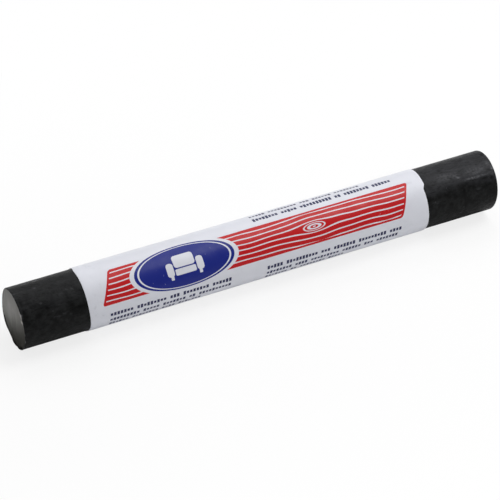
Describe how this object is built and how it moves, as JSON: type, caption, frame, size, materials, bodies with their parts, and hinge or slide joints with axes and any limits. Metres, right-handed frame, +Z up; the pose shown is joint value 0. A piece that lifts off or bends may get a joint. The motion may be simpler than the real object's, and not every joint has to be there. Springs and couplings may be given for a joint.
{
  "type": "furniture repair wax stick",
  "caption": "Round stick of black filler wax, bare at both ends, in a lapped paper label that slides along it; rubbed on wood to fill scratches.",
  "frame": {"origin": "on the surface that the stick lies on, under the middle of its length", "axes": "+X along the stick, from its cut end to its cast end; +Z up; the label's front faces -Y and up"},
  "size_m": [0.1064, 0.013, 0.013],
  "materials": {
    "black_wax": "satin",
    "label_paper": "satin",
    "paper_glue": "satin"
  },
  "bodies": {
    "stick": {"wax_stick": "black_wax"},
    "sleeve": {"paper_label": "label_paper", "lap_glue": "paper_glue"}
  },
  "joints": [
    {"name": "sleeve_slide", "type": "slide", "parent": "stick", "child": "sleeve", "axis": [1, 0, 0], "range_m": [-0.0137, 0.0165]}
  ]
}
